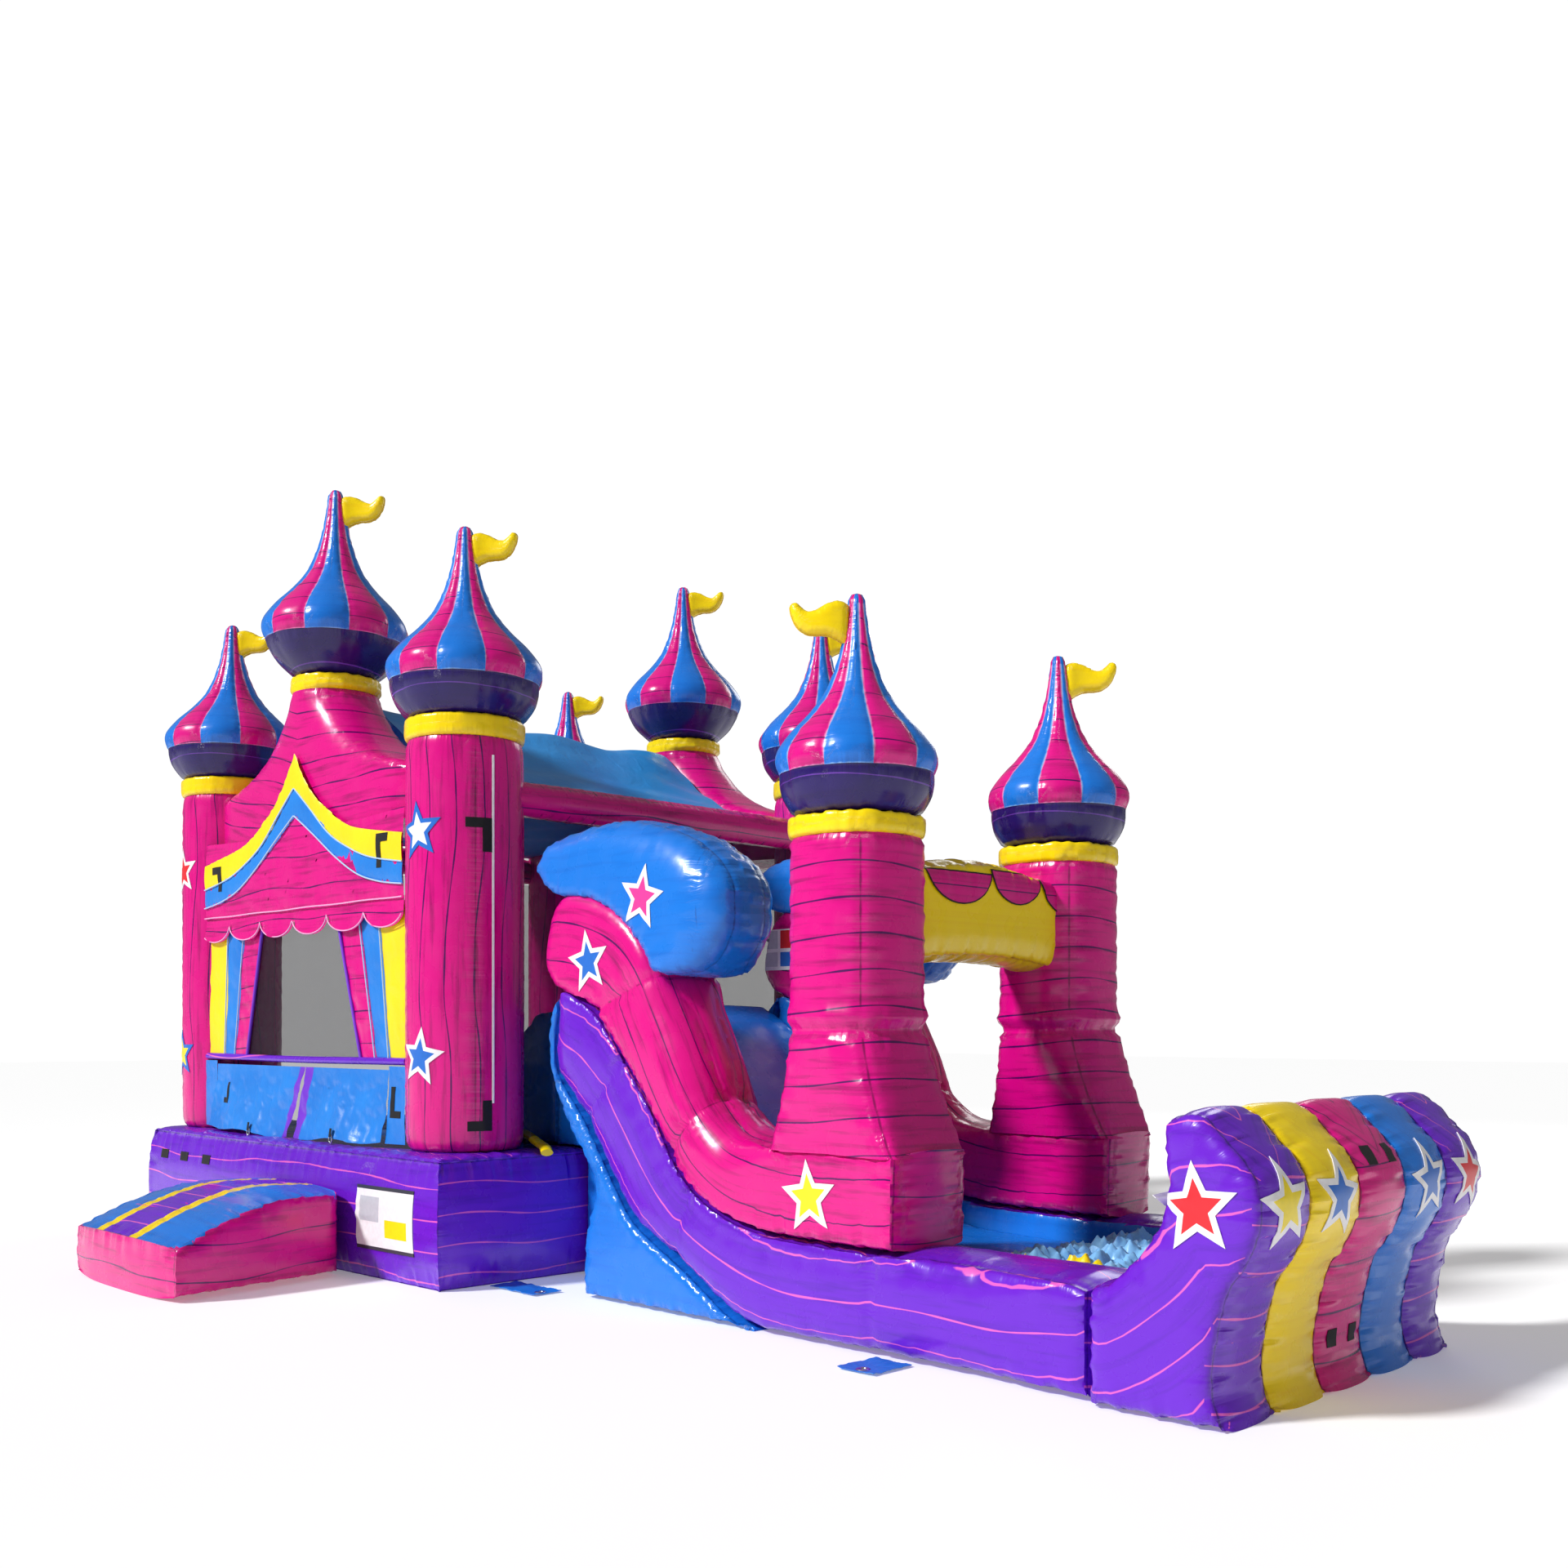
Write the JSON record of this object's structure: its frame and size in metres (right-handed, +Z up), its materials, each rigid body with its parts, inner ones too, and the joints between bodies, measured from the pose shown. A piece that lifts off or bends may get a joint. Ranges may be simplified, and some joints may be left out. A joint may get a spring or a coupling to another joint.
{
  "type": "inflatable bounce house with slide",
  "caption": "Inflatable castle bounce house with netting walls, corner turrets, an entrance ramp with door flaps, and a slide with a landing bumper, fed by a blower.",
  "frame": {"origin": "middle of the footprint, on the ground", "axes": "+X along the front from the house to the slide's bumper, +Y to the back, +Z up"},
  "size_m": [8.55, 6.255, 4.91],
  "materials": {
    "pink_vinyl": "satin",
    "dome_vinyl": "satin",
    "yellow_vinyl": "satin",
    "netting": "matte",
    "purple_vinyl": "satin",
    "blower_plastic": "satin",
    "dark_plastic": "matte",
    "motor_metal": "satin",
    "blue_vinyl": "satin"
  },
  "bodies": {
    "inflatable": {"base_floor": "purple_vinyl", "entrance_ramp": "pink_vinyl", "turret_front_left": "pink_vinyl", "dome_front_left": "dome_vinyl", "flag_front_left": "yellow_vinyl", "turret_front_right": "pink_vinyl", "dome_front_right": "dome_vinyl", "flag_front_right": "yellow_vinyl", "turret_back_left": "pink_vinyl", "dome_back_left": "dome_vinyl", "flag_back_left": "yellow_vinyl", "turret_back_right": "pink_vinyl", "dome_back_right": "dome_vinyl", "flag_back_right": "yellow_vinyl", "gable_front": "pink_vinyl", "gable_back": "pink_vinyl", "dome_gable_front": "dome_vinyl", "flag_gable_front": "yellow_vinyl", "dome_gable_back": "dome_vinyl", "flag_gable_back": "yellow_vinyl", "beam_left": "pink_vinyl", "beam_right": "pink_vinyl", "roof_cover": "blue_vinyl", "net_wall_left": "netting", "net_wall_right": "netting", "net_wall_back": "netting", "window_net_front": "netting", "curtain_left": "blue_vinyl", "curtain_right": "blue_vinyl", "sill_band": "purple_vinyl", "valance": "pink_vinyl", "swag": "yellow_vinyl", "slide_lower_wall_near": "purple_vinyl", "slide_upper_wall_near": "pink_vinyl", "slide_hood_near": "blue_vinyl", "slide_lower_wall_far": "purple_vinyl", "slide_upper_wall_far": "pink_vinyl", "slide_hood_far": "blue_vinyl", "slide_bed": "blue_vinyl", "end_bumper": "yellow_vinyl", "landing_liner": "blue_vinyl", "slide_column_near": "pink_vinyl", "dome_slide_near": "dome_vinyl", "flag_slide_near": "yellow_vinyl", "slide_column_far": "pink_vinyl", "dome_slide_far": "dome_vinyl", "flag_slide_far": "yellow_vinyl", "slide_arch": "yellow_vinyl", "climb_steps": "yellow_vinyl", "anchor_tab_slide_top": "blue_vinyl", "anchor_tab_slide_foot": "blue_vinyl", "anchor_tab_left": "blue_vinyl", "anchor_tab_back": "blue_vinyl", "blower_housing": "blower_plastic", "blower_motor": "motor_metal", "blower_grille": "dark_plastic", "inflation_sleeve": "blue_vinyl"},
    "flap_left": {"door_flap_left": "blue_vinyl"},
    "flap_right": {"door_flap_right": "blue_vinyl"},
    "impeller": {"blower_impeller": "dark_plastic"}
  },
  "joints": [
    {"name": "door_flap_left_hinge", "type": "hinge", "parent": "inflatable", "child": "flap_left", "pos_m": [-2.685, -1.7695, 1.184], "axis": [1, 0, 0], "range_deg": [-70, 60]},
    {"name": "door_flap_right_hinge", "type": "hinge", "parent": "inflatable", "child": "flap_right", "pos_m": [-1.485, -1.7695, 1.184], "axis": [1, 0, 0], "range_deg": [-70, 60]},
    {"name": "impeller_spin", "type": "hinge", "parent": "inflatable", "child": "impeller", "pos_m": [-3.085, 2.8475, 0.33], "axis": [1, 0, 0], "continuous": true}
  ]
}
